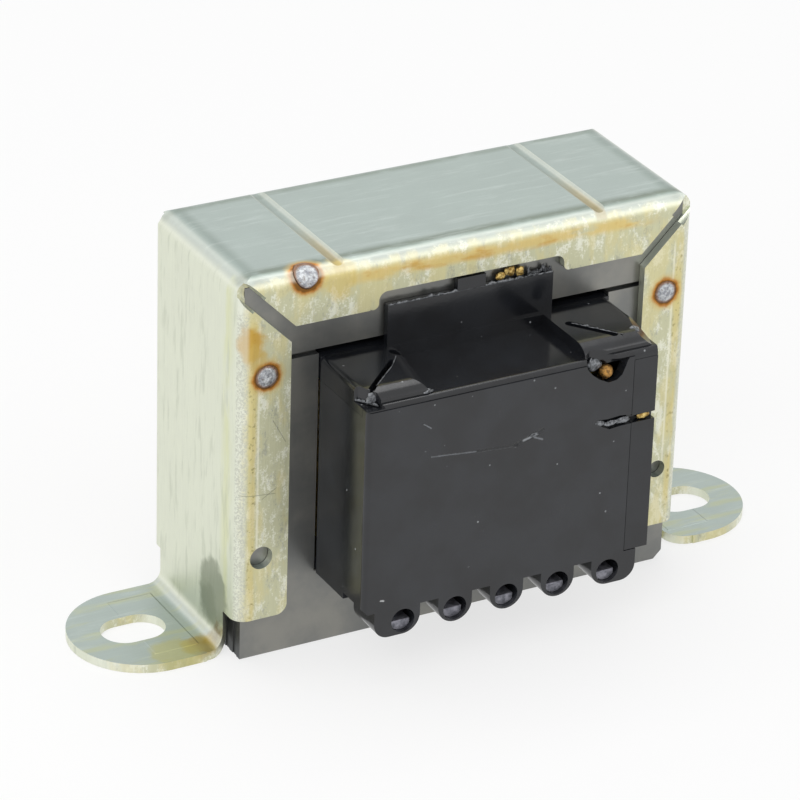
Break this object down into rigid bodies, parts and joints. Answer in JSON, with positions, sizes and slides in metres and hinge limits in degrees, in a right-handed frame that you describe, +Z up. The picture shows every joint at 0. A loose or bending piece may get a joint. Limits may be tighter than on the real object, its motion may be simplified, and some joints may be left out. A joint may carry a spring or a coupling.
{
  "type": "laminated chassis transformer",
  "caption": "Laminated mains transformer in a folded zinc-plated bracket with slotted feet, a black coil former and cover, and pin terminals along its lower front edge.",
  "frame": {"origin": "centre of the two foot slots, on the plane the feet rest on", "axes": "+X across the two mounting feet, -Y towards the terminal cover, +Z up from the mounting plane"},
  "size_m": [0.0664, 0.0311, 0.036],
  "materials": {
    "bracket_zinc": "zinc plated, streaked, satin",
    "weld_metal": "bead, rough",
    "core_steel": "varnished, satin",
    "core_steel_edge": "varnished, satin",
    "former_plastic": "moulded, glossy",
    "cover_plastic": "moulded, glossy",
    "enamelled_wire": "enamelled copper wire",
    "insulation_tape": "polyester tape",
    "terminal_metal": "tinned, dull"
  },
  "bodies": {
    "root": {"mounting_bracket": "bracket_zinc", "front_plug_welds": "weld_metal", "rear_plug_welds": "weld_metal", "e_laminations_upright": "core_steel", "i_laminations_top": "core_steel", "e_laminations_inverted": "core_steel_edge", "i_laminations_bottom": "core_steel_edge", "coil_former": "former_plastic", "primary_winding": "enamelled_wire", "interwinding_insulation": "insulation_tape", "secondary_winding": "enamelled_wire", "outer_insulation": "insulation_tape", "terminal_cover": "cover_plastic", "terminal_1": "terminal_metal", "terminal_2": "terminal_metal", "terminal_3": "terminal_metal", "terminal_4": "terminal_metal", "terminal_5": "terminal_metal", "primary_start_lead": "enamelled_wire", "primary_finish_lead": "enamelled_wire", "secondary_start_lead": "enamelled_wire", "secondary_tap_lead": "enamelled_wire", "secondary_finish_lead": "enamelled_wire"}
  },
  "joints": []
}
